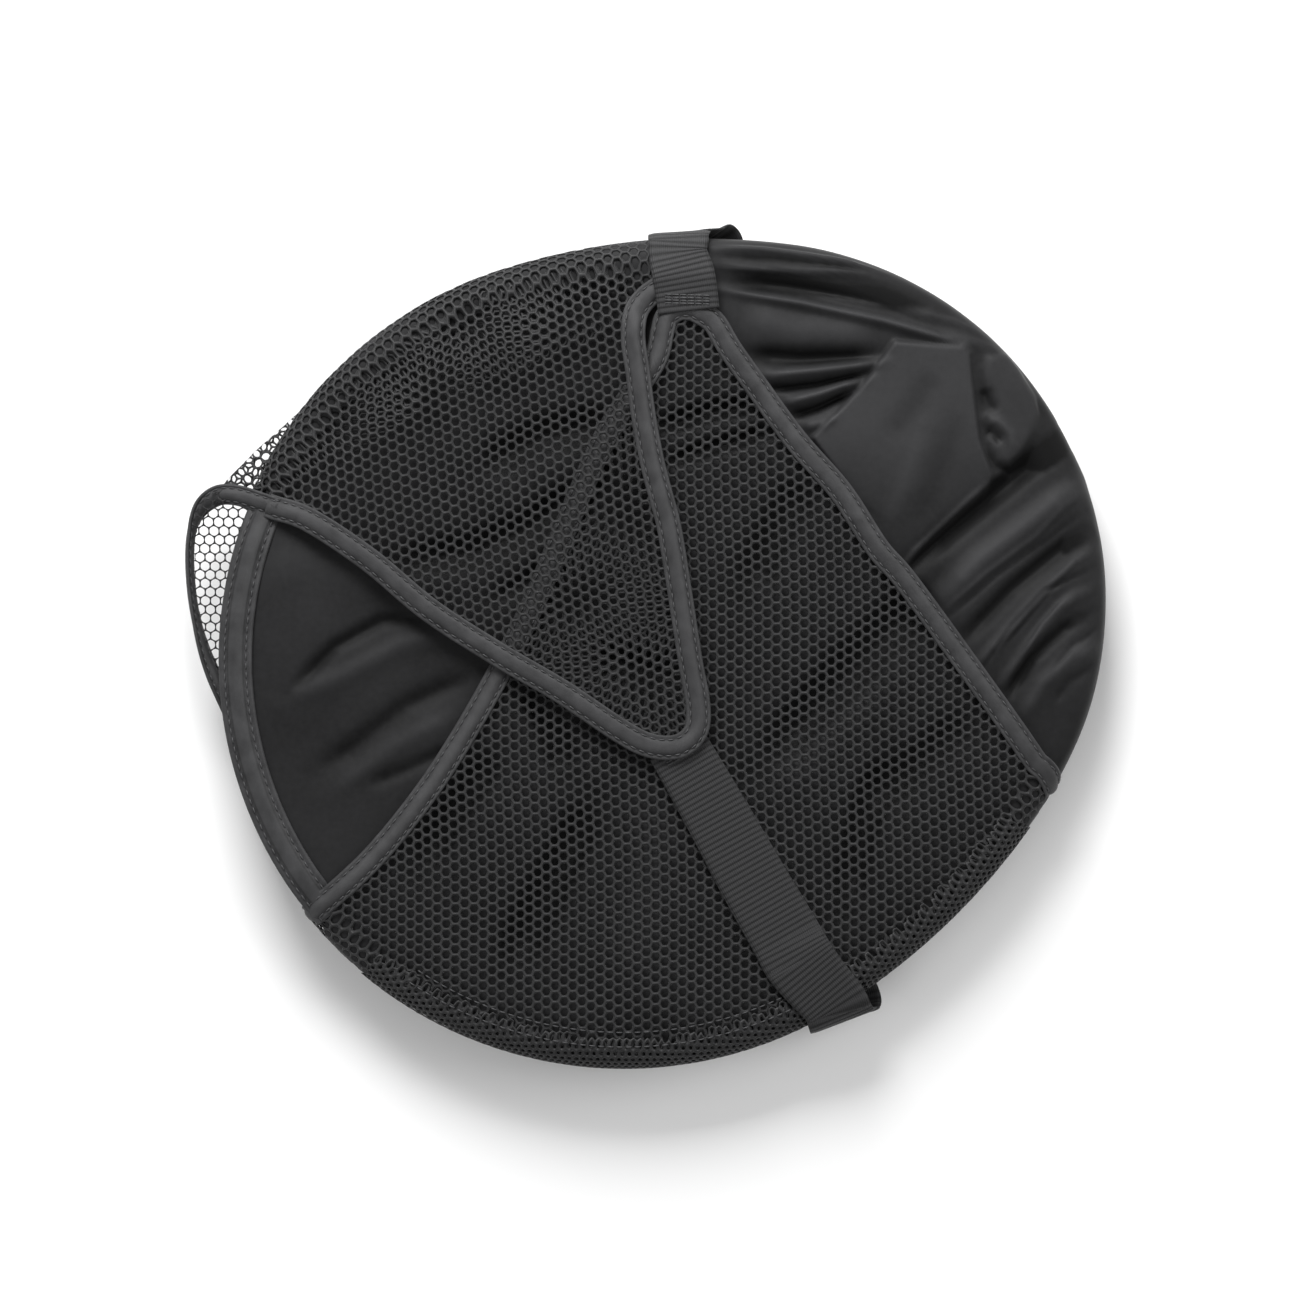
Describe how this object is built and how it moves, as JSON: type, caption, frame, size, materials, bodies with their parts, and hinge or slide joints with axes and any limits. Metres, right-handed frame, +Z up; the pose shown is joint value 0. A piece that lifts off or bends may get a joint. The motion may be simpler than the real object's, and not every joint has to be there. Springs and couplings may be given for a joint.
{
  "type": "folding mesh trap",
  "caption": "Sprung mesh trap twisted flat into a round pack: bound net flap over a net fan, puckered cloth, side loop and an elastic strap that holds it shut.",
  "frame": {"origin": "under the middle of the whole flat pack, side loop included, level with the underside of the strap that it rests on", "axes": "+Z up out of the front of the pack, towards the flap; +Y along the pack towards the strap's sewn end; +X to the right, along the longest side"},
  "size_m": [0.353, 0.3206, 0.0371],
  "materials": {
    "binding_tape": "satin woven binding tape, near black",
    "net": "knitted hexagonal polyester net, black",
    "wall_cloth": "thin smooth polyester cloth, black, soft sheen",
    "elastic_webbing": "ribbed woven elastic, black",
    "thread": "polyester sewing thread, black",
    "spring_wire": "oil-tempered spring steel wire",
    "ferrule_metal": "crimped steel sleeve"
  },
  "bodies": {
    "pack": {"rim_binding_1": "binding_tape", "rim_binding_2": "binding_tape", "rim_binding_3": "binding_tape", "rim_binding_4": "binding_tape", "front_binding": "binding_tape", "back_binding": "binding_tape", "flap_root_binding": "binding_tape", "rim_wire_1": "spring_wire", "rim_wire_2": "spring_wire", "rim_wire_3": "spring_wire", "rim_wire_4": "spring_wire", "front_wire": "spring_wire", "back_wire": "spring_wire", "flap_root_wire": "spring_wire", "hoop_ferrules": "ferrule_metal", "front_net": "net", "back_net": "net", "front_hem": "net", "back_hem": "net", "flap_root_net": "net", "folded_walls": "wall_cloth", "front_cloth": "wall_cloth", "back_cloth": "wall_cloth", "elastic_strap": "elastic_webbing", "strap_front_run": "elastic_webbing", "strap_end_tack": "thread"},
    "front_flap": {"flap_net": "net", "flap_binding": "binding_tape", "flap_wire": "spring_wire", "flap_corner_tack": "thread"},
    "side_loop": {"side_loop_binding": "binding_tape", "side_loop_wire": "spring_wire", "side_loop_net": "net", "side_web_net": "net"}
  },
  "joints": [
    {"name": "front_flap_lift", "type": "hinge", "parent": "pack", "child": "front_flap", "pos_m": [-0.1465, 0.055, 0.0348], "axis": [-0.8982, -0.4396, 0], "range_deg": [0, 50], "stiffness_Nm_per_rad": 0.12},
    {"name": "side_loop_swing", "type": "hinge", "parent": "pack", "child": "side_loop", "pos_m": [-0.1625, -0.03159, 0.0198], "axis": [0.1045, 0.9945, 0], "range_deg": [-25, 35], "stiffness_Nm_per_rad": 0.04}
  ]
}
